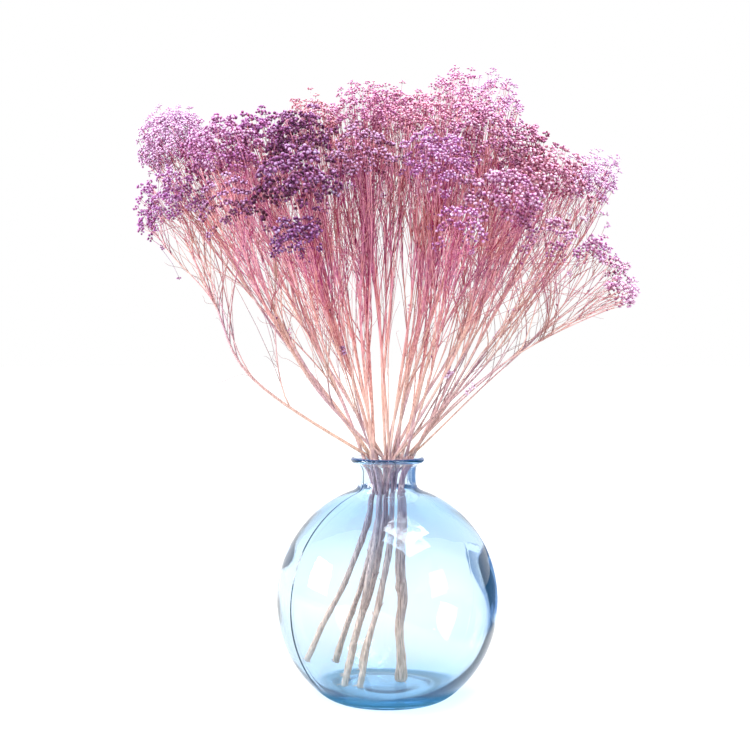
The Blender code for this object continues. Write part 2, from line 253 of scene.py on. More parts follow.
def glass_material():
    """Clear glass that takes red out of light faster than blue, with slow ripples. Its body glows a
    little blue of its own, a painted glow that stands in for the light that goes round inside a thick
    wall."""
    made, shader, give, add = new_material("blue_recycled_glass")
    place = add("TexCoord").outputs["Object"]
    stretch = add("Mapping", {"Vector": place, "Scale": (28.0, 28.0, 12.0)})
    ripple = add("TexNoise", {"Vector": stretch, "Scale": 1.0, "Detail": 2.0})
    bump = add("Bump", {"Height": ripple, "Strength": 0.25, "Distance": 0.0006})
    give(shader, {"Base Color": WHITE, "Roughness": 0.0, "IOR": 1.5, "Transmission Weight": 1.0})
    give(shader, {"Normal": bump})
    clear = add("BsdfTransparent", {"Color": (0.93, 0.97, 0.99, 1.0)})
    surface = add("MixShader", (add("LightPath").outputs["Is Shadow Ray"], shader, clear))
    soak = add("VolumeAbsorption", {"Color": (0.03, 0.58, 0.93, 1.0), "Density": 45.0})
    # Painted glow: the glass's body gives off a little blue light of its own.
    painted_blue_glow = add("Emission", {"Color": (0.02, 0.58, 1.0, 1.0), "Strength": 3.2})
    body = add("AddShader", (soak, painted_blue_glow))
    give(made.node_tree.nodes["Material Output"], {"Surface": surface, "Volume": body})
    return made


section, outer_marks = vase_section()
points, faces = turned(section, outer_marks, turned_angles(BODY_TURNS))
vase = make_piece("vase_glass", [(points, faces, {})], glass_material())
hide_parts("glass_vase")

# The stalks
# Seven woody stems, grey-mauve and furrowed where they stand in the vase, split at the lip into
# branches and then into thousands of wiry twigs. Each stem and all that grew on it is one piece.

# A sweep is how far a branch leans out before it rises, one for each bloom of the stem.
SWEEPS = {
    "left": (0.35, 1.00, 0.55, 0.20),
    "front_left": (0.45, 0.15, 0.35, 0.05, 0.05),
    "front_right": (0.05, 0.12, 0.30, 0.05),
    "right": (0.05, 0.10, 0.22, 0.20, -0.15, -0.28, -0.38),
    "back_right": (0.15, 0.40, 0.25),
    "back_left": (0.10, 0.45, 0.20),
    "centre": (-0.08, 0.00, 0.00, 0.10),
}

# Lengths are in metres. Limbs carry branches, and branches carry wires and hairs. A cousin grew
# on a neighbouring limb and a wanderer on another branch. BARE is how much later a stem's wires
# leave, and FADE how much higher the dye starts, at each place FADE_AT across the bunch.
NECK_Z = 0.2155
CROWN_Z = 0.2460
CROWN_SPREAD = 1.75
CROWN_SCATTER = (0.0066, 0.0045, 0.0)
FOOT_REACH = 0.009
FOOT_GAPS = (0.006, 0.008, 0.0035)
WOODY_SIDES = 16
WOODY_TAPER = ((0, 0.72, 0.86, 1), (1.14, 1.08, 0.65, 0.3))
WOODY_WOBBLE = 0.0008
RING_STEP = 0.0025
SWOLLEN = {"right": 0.38}
SNAGS = 10
SNAG_RADIUS = (0.0009, 0.0003)
SNAG_LENGTH = (0.003, 0.007)
SOLID_WIDTH = 2.12
SUNK = {"centre": 0.28}
FULL_HEAD = 0.033
GOLDEN_ANGLE = math.pi * (3 - math.sqrt(5))
SIDEWAYS = (0.0, 1.0, 0.0)
LIMB_RADIUS = (0.00162, 0.00082)
LIMB_SCATTER = 0.009
LIMB_SWAY = 0.007
BRANCHES = 8
BRANCH_RADIUS = (0.00085, 0.00062, 0.00040)
BRANCH_SWAY = 0.0075
COUSINS = 0.30
COUSIN_REACH = 0.12
WIRES = 10
WIRE_RADIUS = (0.00038, 0.00025)
WIRE_SWAY = 0.0034
WANDERERS = 0.28
WANDER_REACH = 0.11
BARE = {"left": 0.20, "right": 0.15, "front_right": 0.05}
HAIRS = 12
HAIR_RADIUS = (0.00026, 0.00014)
HAIR_LENGTH = (0.012, 0.045)
HAIR_SWAY = 0.004
FADE_AT = (-0.18, -0.07, 0.03, 0.16)
FADE = (0.150, 0.0, 0.0, 0.105)
FADE_SCATTER = 0.012
# The deep colour shows where a twig's tone is dark and where painted shade darkens wires deep in a
# bloom; its darker stops near the blooms are partly painted shade beneath them.
DEEP_BARK = (
    (0.00, (0.36, 0.18, 0.11)),
    (0.20, (0.30, 0.16, 0.14)),
    (0.38, (0.25, 0.12, 0.17)),
    (0.42, (0.43, 0.23, 0.21)),
    (0.55, (0.43, 0.11, 0.13)),
    (0.68, (0.41, 0.036, 0.078)),
    (0.80, (0.27, 0.016, 0.048)),
)
PALE_BARK = (
    (0.00, (1.00, 0.60, 0.44)),
    (0.20, (0.92, 0.60, 0.50)),
    (0.38, (0.74, 0.50, 0.56)),
    (0.42, (0.88, 0.62, 0.55)),
    (0.55, (0.96, 0.57, 0.51)),
    (0.68, (0.98, 0.48, 0.49)),
    (0.80, (0.95, 0.44, 0.50)),
)
draw = np.random.default_rng(20)


def woody_line(node):
    """The middle of each ring of six corners along a stem's solid, from its foot to the neck, and
    the ring's radius. The corners are sorted by height, and every six in a row are one ring."""
    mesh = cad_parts[node].data
    corners = np.zeros(3 * len(mesh.vertices))
    mesh.vertices.foreach_get("co", corners)
    corners = np.unique(corners.reshape(-1, 3).round(6), axis=0)
    corners = corners[corners[:, 2] < NECK_Z + 0.004]
    rings = corners[np.argsort(corners[:, 2])][: len(corners) // 6 * 6].reshape(-1, 6, 3)
    middles = rings.mean(axis=1)
    radius = np.linalg.norm(rings - middles[:, None], axis=2).mean()
    return middles, radius


def resting_foot(line, radius):
    """The line's foot carried on by up to 9 mm, as far as it stays a radius inside the glass, which
    is the ellipse (r / a)^2 + ((z - m) / b)^2 = 1, and above the floor."""
    ahead = (line[0] - line[1]) / np.linalg.norm(line[0] - line[1])
    feet = line[0] + np.linspace(0.0, FOOT_REACH, 10)[:, None] * ahead
    a = BALL_RADIUS - FOOT_GAPS[0] - radius
    b = BALL_HALF_HEIGHT - FOOT_GAPS[1] - radius
    filled = (feet[:, 0] ** 2 + feet[:, 1] ** 2) / a**2 + ((feet[:, 2] - BALL_MIDDLE_Z) / b) ** 2
    clear = (filled < 1.0) & (feet[:, 2] > FLOOR_Z + FOOT_GAPS[2])
    return feet[clear][-1] if clear.any() else line[0]


def smooth_line(points, step):
    """Points a fixed step apart on the natural cubic through the given ones, x, y and z each a
    cubic of the length along them with the same slope and curvature where two meet."""
    lengths = np.concatenate([[0.0], np.cumsum(np.linalg.norm(np.diff(points, axis=0), axis=1))])
    gap = np.diff(lengths)
    count = len(points)
    system = np.eye(count)
    right = np.zeros((count, 3))
    rows = np.arange(1, count - 1)
    system[rows, rows - 1] = gap[:-1]
    system[rows, rows] = 2 * (gap[:-1] + gap[1:])
    system[rows, rows + 1] = gap[1:]
    slopes = np.diff(points, axis=0) / gap[:, None]
    right[1:-1] = 6 * np.diff(slopes, axis=0)
    curl = np.linalg.solve(system, right)
    at = np.linspace(0.0, lengths[-1], int(lengths[-1] / step) + 2)
    part = np.clip(np.searchsorted(lengths, at, side="right") - 1, 0, count - 2)
    b = ((at - lengths[part]) / gap[part])[:, None]
    a = 1.0 - b
    span = (gap[part] ** 2 / 6)[:, None]
    bow = (a**3 - a) * curl[part] + (b**3 - b) * curl[part + 1]
    return a * points[part] + b * points[part + 1] + span * bow


def unit(vectors):
    """Each vector divided by its length."""
    return vectors / np.maximum(np.linalg.norm(vectors, axis=-1, keepdims=True), 1e-9)


def twigs(corners, sway=0.0, waves=(1.0, 1.5)):
    """Six rows for each twig: its four Bezier corners, from four lists of points, the way and size
    of its sway, and its number of waves and their phase."""
    corners = np.stack(corners, 1)
    count = len(corners)
    way = sway * draw.uniform(0.3, 1.0, (count, 1)) * unit(draw.normal(0, 1, (count, 3)))
    rhythm = np.stack([draw.uniform(*waves, count), draw.uniform(0, 2 * math.pi, count)], 1)
    rhythm = np.concatenate([rhythm, np.zeros((count, 1))], 1)
    return np.concatenate([corners, way[:, None], rhythm[:, None]], 1)


def along(rows, t):
    """Points at t on each twig: its corners weighted by (1-t)^3, 3t(1-t)^2, 3t^2(1-t) and t^3, plus
    its sway times sin(pi t) sin(2 pi w t + p), which is nothing at both ends."""
    t = np.broadcast_to(t, (len(rows), np.shape(t)[-1]))[..., None]
    a, b, c, d, way, rhythm = (rows[:, None, i] for i in range(6))
    line = (1 - t) ** 3 * a + 3 * t * (1 - t) ** 2 * b + 3 * t**2 * (1 - t) * c + t**3 * d
    swing = np.sin(math.pi * t) * np.sin(2 * math.pi * rhythm[..., :1] * t + rhythm[..., 1:2])
    return line + swing * way


def spots(rows, at):
    """The point at its own place on each twig, from 0 at its root to 1 at its end."""
    return along(rows, at[:, None])[:, 0]


def grown(parents, of, leave, ends, facing, turn, pulls, sway):
    """Twigs that leave parent number `of` at `leave` along it, their first direction its own with a
    share `turn` of the straight way to their ends, which they come to in the direction `facing`."""
    rows = parents[of]
    start = spots(rows, leave)
    heading = unit(spots(rows, np.minimum(leave + 0.02, 1.0)) - spots(rows, leave - 0.02))
    reach = np.linalg.norm(ends - start, axis=1, keepdims=True)
    heading = unit(heading + turn * unit(ends - start))
    first = start + pulls[0] * reach * heading
    second = ends - pulls[1] * reach * facing
    return twigs([start, first, second, ends], sway, (0.6, 1.5))


def spokes(ahead, level, turns):
    """Unit vectors square to each a of `ahead`, at each turn t about it: s cos t + (a x s) sin t,
    where s is a x level made one long."""
    side = unit(np.cross(ahead, level))
    other = np.cross(ahead, side)[..., None, :]
    return np.cos(turns)[..., None] * side[..., None, :] + np.sin(turns)[..., None] * other


def tubes(paths, radii, sides):
    """Closed tubes: ring j of tube i is a circle of `sides` corners about path point (i, j), square
    to the path; radii holds one number for each ring, or one for each corner."""
    count, rings = paths.shape[:2]
    turns = 2 * math.pi * np.arange(sides) / sides
    around = spokes(unit(np.gradient(paths, axis=1)), SIDEWAYS, turns)
    if radii.ndim < 3:
        radii = radii[..., None]
    points = paths[:, :, None] + radii[..., None] * around
    row = np.arange(sides)
    after = (row + 1) % sides
    lower = (np.arange(count)[:, None] * rings + np.arange(rings - 1)) * sides
    lower = lower[..., None]
    quads = np.stack([lower + row, lower + after, lower + sides + after, lower + sides + row], 3)
    bottom = np.arange(count)[:, None] * rings * sides + row[::-1]
    top = (np.arange(count)[:, None] * rings + rings - 1) * sides + row
    return points.reshape(-1, 3), [quads.reshape(-1, 4), bottom, top]


def drawn(rows, rings, radii, sides, **values):
    """A part of tubes along twigs: each tapers evenly from radii[0] to radii[1], one number for
    all or one for each twig, as the values that it is coloured by are."""
    t = np.linspace(0, 1, rings)
    start, end = (np.broadcast_to(radius, len(rows))[:, None] for radius in radii)
    points, faces = tubes(along(rows, t), start + (end - start) * t, sides)
    for key, value in values.items():
        values[key] = np.repeat(np.broadcast_to(value, len(rows)), rings * sides)
    return points, faces, values


def bark_radii(length, rings, radius, swell):
    """Radius for each ring and corner of a woody stem: even, with furrows that run along it (sines
    of the turn, their phase drifting with length), knots (bells in length), a swollen foot and a
    ragged cut end."""
    s = np.linspace(0.0, length, rings)[:, None]
    turn = 2 * math.pi * np.arange(WOODY_SIDES)[None] / WOODY_SIDES
    furrows = 0.0
    for lobes, size in ((2, 0.07), (3, 0.06), (5, 0.05), (7, 0.04)):
        phase = draw.uniform(0, 2 * math.pi)
        drift = draw.uniform(-35, 35)
        furrows = furrows + size * np.sin(lobes * turn + phase + drift * s)
    lumps = 0.05 * np.sin(260 * s + 3.0) * np.sin(95 * s) + 0.06 * np.sin(43 * s + swell * 9)
    knots = 0.0
    for at in draw.uniform(0.0, length, 6):
        side = draw.uniform(0, 2 * math.pi)
        bell = np.exp(-(((s - at) / 0.0045) ** 2))
        knots = knots + 0.32 * bell * (0.5 + 0.5 * np.cos(turn - side)) ** 2
    foot = swell * np.exp(-(((s - 0.007) / 0.009) ** 2))
    torn = -draw.uniform(0.0, 0.5, (1, WOODY_SIDES)) * np.exp(-((s / 0.0022) ** 2))
    return radius * (1.0 + furrows + lumps + knots + foot + torn)


def head_frames(stem, crown):
    """For each bloom of a stem: its middle, a little sunk below its solid's, its radius, the way
    from the crown to its solid, and the way it faces, which leans from that towards upright."""
    boxes = [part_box(f"bloom_{stem}_{number + 1}") for number in range(len(SWEEPS[stem]))]
    low, high = np.array(boxes, float).transpose(1, 0, 2)
    sizes = (high - low)[:, :2].sum(axis=1) / (2 * SOLID_WIDTH)
    toward = unit((low + high) / 2 - crown)
    facing = unit(0.65 * toward + [0.0, 0.0, 0.35])
    middles = (low + high) / 2 - SUNK.get(stem, 0.10) * sizes[:, None] * facing
    return middles, sizes, toward, facing


def spread_in_heads(middles, sizes, facing, of, turn, rise, out):
    """Places in egg-shaped heads: `turn` is the angle about the facing, `rise` the sine above a
    head's waist, `out` the distance from its middle in parts of its radius, longer along the
    facing than across it."""
    flat = np.sqrt(1 - rise**2)
    across = flat[:, None] * spokes(facing[of], SIDEWAYS, turn[:, None])[:, 0]
    lengthwise = np.where(rise > 0, 1.15, 1.05)[:, None] * rise[:, None] * facing[of]
    return middles[of] + sizes[of, None] * out[:, None] * (across + lengthwise)


def even_cap(count, lowest):
    """Turn and rise of points spread evenly over a ball's cap: the rise falls in equal steps from 1
    to `lowest`, and each point is turned by the golden angle from the last."""
    number = np.arange(count)
    return number * GOLDEN_ANGLE, 1 - (1 - lowest) * (number + 0.5) / count


def nearest(points, others):
    """The number of the nearest of the others to each point: one list for all, or one for each."""
    return np.linalg.norm(points[:, None] - others, axis=2).argmin(axis=1)


def warped(points):
    """Points moved by slow and quick waves of place, so that no two heads have the same outline."""
    moved = points.copy()
    for length, size in ((0.046, 0.0028), (0.021, 0.0022)):
        turns = 2 * math.pi * points / length
        moved += size * np.sin(turns[:, [1, 2, 0]] + [0.3, 1.9, 4.1]) * [1.0, 1.0, 0.6]
        moved += size * np.sin(1.3 * turns[:, [2, 0, 1]] + [2.2, 5.0, 0.7]) * [1.0, 1.0, 0.6]
    return moved


def ramp(add, at, stops):
    """A colour ramp read at `at`, with its stops given as (place, colour)."""
    node = add("ValToRGB", (at,))
    elements = node.color_ramp.elements
    while len(elements) < len(stops):
        elements.new(0.5)
    for element, (position, colour) in zip(elements, stops):
        element.position = position
        element.color = (*colour, 1.0)
    return node


def blend(add, share, first, second):
    """A colour between two, that much of the way from the first to the second."""
    return add("Mix", {0: share, 6: first, 7: second}, data_type="RGBA").outputs[2]


def stalk_material():
    """Dry bark: tan and mauve in the vase, salmon above the lip and crimson near the blooms. Two
    ramps of the height hold the deep and the pale colour, and each twig's tone, darkened by painted
    shade where a wire ends deep in a bloom, and streaks mix them. A twig's fade is how much higher
    its dye starts, and two noises turn some dye magenta."""
    made, shader, give, add = new_material("dyed_dry_stalk")
    place = add("TexCoord").outputs["Object"]
    height = add("SeparateXYZ", (place,)).outputs["Z"]
    fade = add("Attribute", attribute_name="fade").outputs["Fac"]
    dyed_height = add("Math", (height, fade), operation="SUBTRACT")
    rise = add("MapRange", {"Value": dyed_height, "From Min": 0.0, "From Max": 0.60})
    stretch = add("Mapping", {"Vector": place, "Scale": (1000.0, 1000.0, 70.0)})
    grain = add("TexNoise", {"Vector": stretch, "Scale": 1.0, "Detail": 4.0})
    streaks = {"Value": grain, "From Min": 0.3, "From Max": 0.7, "To Min": -0.5, "To Max": 0.5}
    shade = add("Attribute", attribute_name="shade").outputs["Fac"]
    mix = add("Math", (shade, add("MapRange", streaks)), operation="ADD", use_clamp=True)
    mixed = blend(add, mix, ramp(add, rise, DEEP_BARK), ramp(add, rise, PALE_BARK))
    patches = add("TexNoise", {"Vector": place, "Scale": 13.0, "Detail": 1.0})
    strand = add("Mapping", {"Vector": place, "Scale": (210.0, 210.0, 16.0)})
    strands = add("TexNoise", {"Vector": strand, "Scale": 1.0, "Detail": 1.0})
    both = add("Math", (patches, strands), operation="ADD")
    dyed = add("MapRange", {"Value": both, "From Min": 0.80, "From Max": 1.20})
    upper = add("MapRange", {"Value": height, "From Min": 0.30, "From Max": 0.42})
    much = add("Math", (dyed, upper), operation="MULTIPLY")
    turn = add("Math", (much, -0.070, 0.512), operation="MULTIPLY_ADD")
    rich = add("Math", (much, 0.06, 0.98), operation="MULTIPLY_ADD")
    dyed = add("HueSaturation", {"Hue": turn, "Saturation": rich, "Color": mixed})
    bump = add("Bump", {"Height": grain, "Strength": 0.9, "Distance": 0.0007})
    give(shader, {"Base Color": dyed, "Normal": bump, "Roughness": 0.7, "Specular IOR Level": 0.08})
    return made


stalk_finish = stalk_material()
growth = {}
for stem, sweeps in SWEEPS.items():
    line, woody_radius = woody_line(f"stem_{stem}")
    line[0] = resting_foot(line, woody_radius)
    crown = line[-1] * [CROWN_SPREAD, CROWN_SPREAD, 0.0] + [0.0, 0.0, CROWN_Z]
    middles, sizes, toward, facing = head_frames(stem, crown)
    heads = len(sweeps)

    wobble = draw.normal(0.0, WOODY_WOBBLE, line.shape)
    wobble[[0, -1]] = 0.0
    trunk = smooth_line(np.concatenate([line + wobble, [crown]]), RING_STEP)
    swell = SWOLLEN.get(stem, 0.12)
    radii = bark_radii(RING_STEP * len(trunk), len(trunk), woody_radius, swell)
    taper = np.interp(np.linspace(0, 1, len(trunk)), *WOODY_TAPER)
    points, faces = tubes(trunk[None], (radii * taper[:, None])[None], WOODY_SIDES)
    parts = [(points, faces, {"shade": 0.45, "fade": 0.0})]

    at = draw.integers(1, len(trunk) * 2 // 3, SNAGS)
    at[: SNAGS // 2] = 1
    ahead = unit(trunk[at + 1] - trunk[at])
    out = unit(np.cross(ahead, draw.normal(0, 1, ahead.shape)))
    upward = np.where(at > 1, 1.0, -0.3)[:, None] * draw.uniform(0.8, 2.0, (SNAGS, 1))
    way = unit(out + upward * ahead)
    start = trunk[at] + 0.5 * woody_radius * out
    size = draw.uniform(*SNAG_LENGTH, (SNAGS, 1))
    corners = [start, start + 0.3 * size * out, start + 0.6 * size * way, start + size * way]
    snags = twigs(corners)
    parts.append(drawn(snags, 6, SNAG_RADIUS, 6, shade=0.5, fade=0.0))

    spread = np.array(sweeps)[:, None]
    leaving = unit(toward + spread * toward * [1.0, 1.0, 0.0])
    root = crown - 0.004 * leaving + draw.uniform(-1, 1, toward.shape) * CROWN_SCATTER
    base = middles - 0.9 * sizes[:, None] * facing
    reach = np.linalg.norm(base - crown, axis=1, keepdims=True)
    first = root + 0.42 * (1 + 0.5 * spread) * reach * leaving
    first = first + draw.normal(0, LIMB_SCATTER, first.shape) * [1.0, 1.0, 0.0]
    arriving = unit(facing + np.minimum(1.6 * spread, 0.0) * [0.0, 0.0, 1.0])
    limbs = twigs([root, first, base - 0.36 * reach * arriving, base], LIMB_SWAY, (0.6, 1.3))
    thickness = np.clip(sizes / FULL_HEAD, 0.6, 1.0)
    fade = np.interp(middles[:, 0], FADE_AT, FADE) + draw.normal(0, FADE_SCATTER, heads)
    limb_radii = (LIMB_RADIUS[0] * thickness, LIMB_RADIUS[1] * thickness)
    parts.append(drawn(limbs, 26, limb_radii, 8, shade=draw.uniform(0.45, 1.0, heads), fade=fade))

    foot = trunk[-draw.integers(12, 22, heads)] + draw.normal(0, 0.0014, root.shape)
    corners = [foot, foot + [0.0, 0.0, 0.010], root - 0.012 * leaving, root + 0.001 * leaving]
    shoots = twigs(corners)
    parts.append(drawn(shoots, 10, (1.1 * limb_radii[0], limb_radii[0]), 8, shade=0.4, fade=0.0))

    counts = np.maximum(3, np.round(BRANCHES * sizes / FULL_HEAD)).astype(int)
    of = np.repeat(np.arange(heads), counts)
    nth = np.arange(len(of)) - np.repeat(np.cumsum(counts) - counts, counts)
    turn = nth * GOLDEN_ANGLE + draw.uniform(-0.5, 0.5, len(of))
    rise = draw.uniform(-0.95, 0.25, len(of))
    out = draw.uniform(0.45, 0.85, len(of))
    branch_ends = spread_in_heads(middles, sizes, facing, of, turn, rise, out)
    pulled = 0.5 - 2.8 * np.minimum(spread[of], 0.0)
    heading = pulled * arriving[of] + (1.3 - pulled) * unit(branch_ends - crown)
    heading = unit(heading + draw.normal(0, 0.3, heading.shape))
    lowest = 0.05 + 0.25 * spread[of, 0] + 1.9 * np.abs(np.minimum(spread[of, 0], 0.0))
    leave = lowest + (0.70 - lowest) * (nth / (counts[of] - 1)) ** 0.8
    leave = leave + draw.uniform(-0.03, 0.03, len(of))
    cousin = draw.integers(0, heads, len(of))
    close = np.linalg.norm(middles[cousin] - middles[of], axis=1) < COUSIN_REACH
    limb_of = np.where(close & (draw.uniform(0, 1, len(of)) < COUSINS), cousin, of)
    branches = grown(limbs, limb_of, leave, branch_ends, heading, 0.9, (0.24, 0.30), BRANCH_SWAY)
    start_radius = np.interp(leave, [0.0, 0.8], BRANCH_RADIUS[:2]) * thickness[of]
    shade = draw.uniform(0.20, 1.0, len(of))
    fade = fade[limb_of] + draw.normal(0, FADE_SCATTER, len(of))
    parts.append(drawn(branches, 16, (start_radius, BRANCH_RADIUS[2]), 5, shade=shade, fade=fade))

    above, ends, head_of, depths = [], [], [], []
    for number in range(heads):
        mine = np.flatnonzero(of == number)
        count = len(mine) * max(4, round(WIRES * sizes[number] / FULL_HEAD))
        turn, rise = even_cap(count, -0.30)
        own = np.full(count, number)
        out = 0.95 - 0.40 * draw.uniform(0, 1, count) ** 1.5
        tips = spread_in_heads(middles, sizes, facing, own, turn, rise, out)
        tips = warped(tips) + draw.normal(0, 0.09 * sizes[number], tips.shape)
        blurred = branch_ends[mine] + draw.normal(0, 0.35 * sizes[number], (count, 1, 3))
        parent = mine[nearest(tips, blurred)]
        stray = draw.uniform(0, 1, count) < WANDERERS
        other = draw.integers(0, len(of), count)
        toward_other = draw.uniform(0.15, 0.75, (count, 1)) * (branch_ends[other] - tips)
        close = np.linalg.norm(branch_ends[other] - tips, axis=1) < WANDER_REACH
        tips = tips + (stray & close)[:, None] * toward_other
        above.append(np.where(stray, other, parent))
        ends.append(tips)
        head_of.append(own)
        depths.append(0.95 - out)
    above, ends, head_of, depths = map(np.concatenate, (above, ends, head_of, depths))
    apart = np.linalg.norm(ends - branch_ends[above], axis=1) / FULL_HEAD
    leave = 0.90 - 0.28 * apart - draw.uniform(0.0, 0.45, len(above)) + BARE.get(stem, 0.0)
    leave = np.clip(leave, 0.12, 0.95)
    heading = unit(0.4 * arriving[head_of] + unit(ends - crown) + draw.normal(0, 0.22, ends.shape))
    wires = grown(branches, above, leave, ends, heading, 0.7, (0.26, 0.32), WIRE_SWAY)
    # Painted shade: a wire's random tone is darker the deeper in its bloom it ends.
    shade = draw.uniform(0.0, 1.25, len(above)) - 1.3 * depths
    parts.append(drawn(wires, 9, WIRE_RADIUS, 3, shade=shade, fade=fade[above]))

    on = draw.integers(0, len(branches), HAIRS * heads)
    start = draw.uniform(0.05, 0.6, len(on))
    from_branch = spots(branches[on], start)
    way = unit(unit(from_branch - crown) + draw.normal(0, 0.30, from_branch.shape))
    ends = from_branch + draw.uniform(*HAIR_LENGTH, len(on))[:, None] * way
    bent = unit(way + draw.normal(0, 0.6, way.shape))
    hairs = grown(branches, on, start, ends, bent, 0.6, (0.3, 0.3), HAIR_SWAY)
    shade = draw.uniform(-0.3, 0.2, len(on))
    parts.append(drawn(hairs, 13, HAIR_RADIUS, 3, shade=shade, fade=fade[on]))

    growth[stem] = (limbs, wires, head_of, middles, sizes, facing)
    stalks = make_piece(f"stalks_{stem}", parts, stalk_finish)
    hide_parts(f"stem_{stem}")

# The blooms
# At the end of most wires, and of the short sprigs that leave them, six hair-thin stalks each hold
# one dry round seed head 2 to 4 mm across, dyed in the bunch, with painted shade that darkens the
# seeds low in each bloom, and paler at the tip, partly its own colour and partly a painted highlight.
# Each stem's seed heads are one piece, which grew out of the stalks of that stem.

# A bloom's look is its seeds' radius in millimetres, its turn of hue, its paleness, how far its
# seeds stand apart, from 0 for a close dome to 1 for an open fan, and how full it is.
LOOKS = {
    "left": (
        (1.15, 0.00, 0.50, 0.6, 1.9),
        (1.40, -0.03, 0.08, 0.3, 0.9),
        (1.70, 0.00, 0.00, 0.0, 1.25),
        (1.70, -0.03, -0.02, 0.0, 1.1),
    ),
    "front_left": (
        (1.55, 0.00, 0.14, 0.2, 0.45),
        (2.05, -0.03, -0.07, 0.0, 1.25),
        (1.55, -0.06, 0.00, 0.1, 1.15),
        (1.50, 0.02, 0.24, 0.3, 0.6),
        (1.70, -0.03, -0.08, 0.0, 1.1),
    ),
    "front_right": (
        (1.40, -0.02, 0.06, 0.4, 0.8),
        (1.80, 0.02, 0.16, 0.2, 0.9),
        (1.50, -0.01, 0.10, 0.9, 0.38),
        (1.50, 0.01, 0.22, 0.7, 0.3),
    ),
    "right": (
        (1.50, -0.01, 0.06, 0.2, 0.9),
        (1.55, 0.00, -0.04, 0.1, 1.0),
        (1.85, 0.02, 0.14, 0.1, 1.0),
        (1.30, -0.05, 0.52, 0.4, 1.3),
        (1.75, -0.03, 0.34, 0.2, 0.8),
        (1.65, -0.02, 0.38, 0.2, 0.9),
        (1.80, -0.02, 0.38, 0.2, 0.9),
    ),
    "back_right": (
        (1.15, -0.05, 0.28, 1.0, 0.6),
        (1.50, 0.00, -0.06, 0.1, 1.0),
        (1.50, 0.00, -0.06, 0.1, 1.0),
    ),
    "back_left": (
        (1.25, 0.00, 0.20, 0.3, 0.9),
        (1.50, 0.00, -0.06, 0.1, 1.0),
        (1.50, 0.02, -0.06, 0.1, 1.0),
    ),
    "centre": (
        (1.25, -0.045, 0.18, 0.6, 0.8),
        (1.40, -0.03, 0.09, 0.4, 1.1),
        (1.40, -0.02, 0.08, 0.3, 0.9),
        (1.20, -0.05, 0.26, 1.0, 0.65),
    ),
}
SLOT_DYES = {
    "left": "violet",
    "front_left": "plum",
    "front_right": "violet",
    "right": "lavender",
    "back_right": "lavender",
    "back_left": "rose",
    "centre": "rose",
}
DYES = {
    "violet": ((0.180, 0.022, 0.085), (0.41, 0.120, 0.33), (0.86, 0.63, 0.88)),
    "plum": ((0.070, 0.007, 0.026), (0.22, 0.042, 0.145), (0.66, 0.42, 0.72)),
    "lavender": ((0.200, 0.026, 0.080), (0.54, 0.195, 0.37), (0.94, 0.73, 0.90)),
    "rose": ((0.220, 0.026, 0.065), (0.58, 0.200, 0.300), (0.94, 0.70, 0.79)),
}

# A tuft is six seed heads. BEARING is how surely a wire's end bears one, and TRAILING the share of
# a head's sprigs that hang below it. Strays leave the bare limbs, and buds sit along the wires.
SEEDS_PER_AREA = 1.85
TUFT = 6
TUFT_ANGLE = 62
TRAILING = 0.20
BEARING = 1.6
STALKLET_RADIUS = 0.00022
ASLANT = (0.31, 0.90, 0.30)
SPRIG_RADIUS = (0.00026, 0.00020)
SPRIG_SWAY = 0.0004
STRAYS = 0.2
STRAY_LENGTH = (0.012, 0.028)
STRAY_TUFTS = (0.5, 0.75, 1.0)
STRAY_SIZE = 0.6
BUDS = 9
BUD_RADIUS = (0.0006, 0.0011)


def seed_head():
    """Corners and faces of a ball of 20 triangles, radius 1: the corners lie along (0, +-1, +-g) and
    its two even shufflings, where g is the golden ratio, and a face joins three neighbours."""
    g = (1 + math.sqrt(5)) / 2
    signs = ((-1, -1), (-1, 1), (1, -1), (1, 1))
    corners = unit(np.array([np.roll((0, a, b * g), -i) for i in range(3) for a, b in signs]))
    near = np.linalg.norm(corners[:, None] - corners, axis=2) < 1.2
    faces = []
    for i, j, k in itertools.combinations(range(12), 3):
        if near[i, j] and near[j, k] and near[i, k]:
            normal = np.cross(corners[j] - corners[i], corners[k] - corners[i])
            faces.append((i, j, k) if normal @ corners[i] > 0 else (i, k, j))
    return corners, np.array(faces)


def copies(points, faces, **values):
    """A part of one shape many times over: point (i, j) is corner j of copy i, and each value is
    one number for all, one for each copy in a column, or one for each corner of each copy."""
    count, corners = points.shape[:2]
    numbers = (np.arange(count) * corners)[:, None, None] + faces
    for key, value in values.items():
        values[key] = np.broadcast_to(value, (count, corners)).ravel()
    return points.reshape(-1, 3), [numbers.reshape(-1, 3)], values


def seed_heads(middles, axes, radii, stretch, shade, tip, hue):
    """Balls longer along their axes: corner c is at middle + radius (c + stretch (c . axis) axis),
    and paler by tip[0] times c . axis, which counts as tip[1] where it is less. The paler outer end
    is partly the seed's own colour and partly a painted highlight, as the axes point outwards."""
    corners, faces = seed_head()
    lengthwise = axes @ corners.T
    offset = corners + (stretch * lengthwise)[..., None] * axes[:, None]
    points = middles[:, None] + radii[:, None, None] * offset
    # Partly a painted highlight: the outer end of each seed is paler.
    tip_paling_and_highlight = tip[0] * np.clip(lengthwise, tip[1], 1.0)
    return copies(points, faces, shade=shade[:, None], tip=tip_paling_and_highlight, hue=hue[:, None])


def stalklets(starts, ends, hue):
    """Three-sided spikes: a small triangle about each start, and one corner at each end."""
    ring = spokes(unit(ends - starts), ASLANT, 2 * math.pi * np.arange(3) / 3)
    points = np.concatenate([starts[:, None] + STALKLET_RADIUS * ring, ends[:, None]], 1)
    faces = np.array([(0, 2, 1), (0, 1, 3), (1, 2, 3), (2, 0, 3)])
    return copies(points, faces, shade=0.3, tip=0.0, hue=hue[:, None])


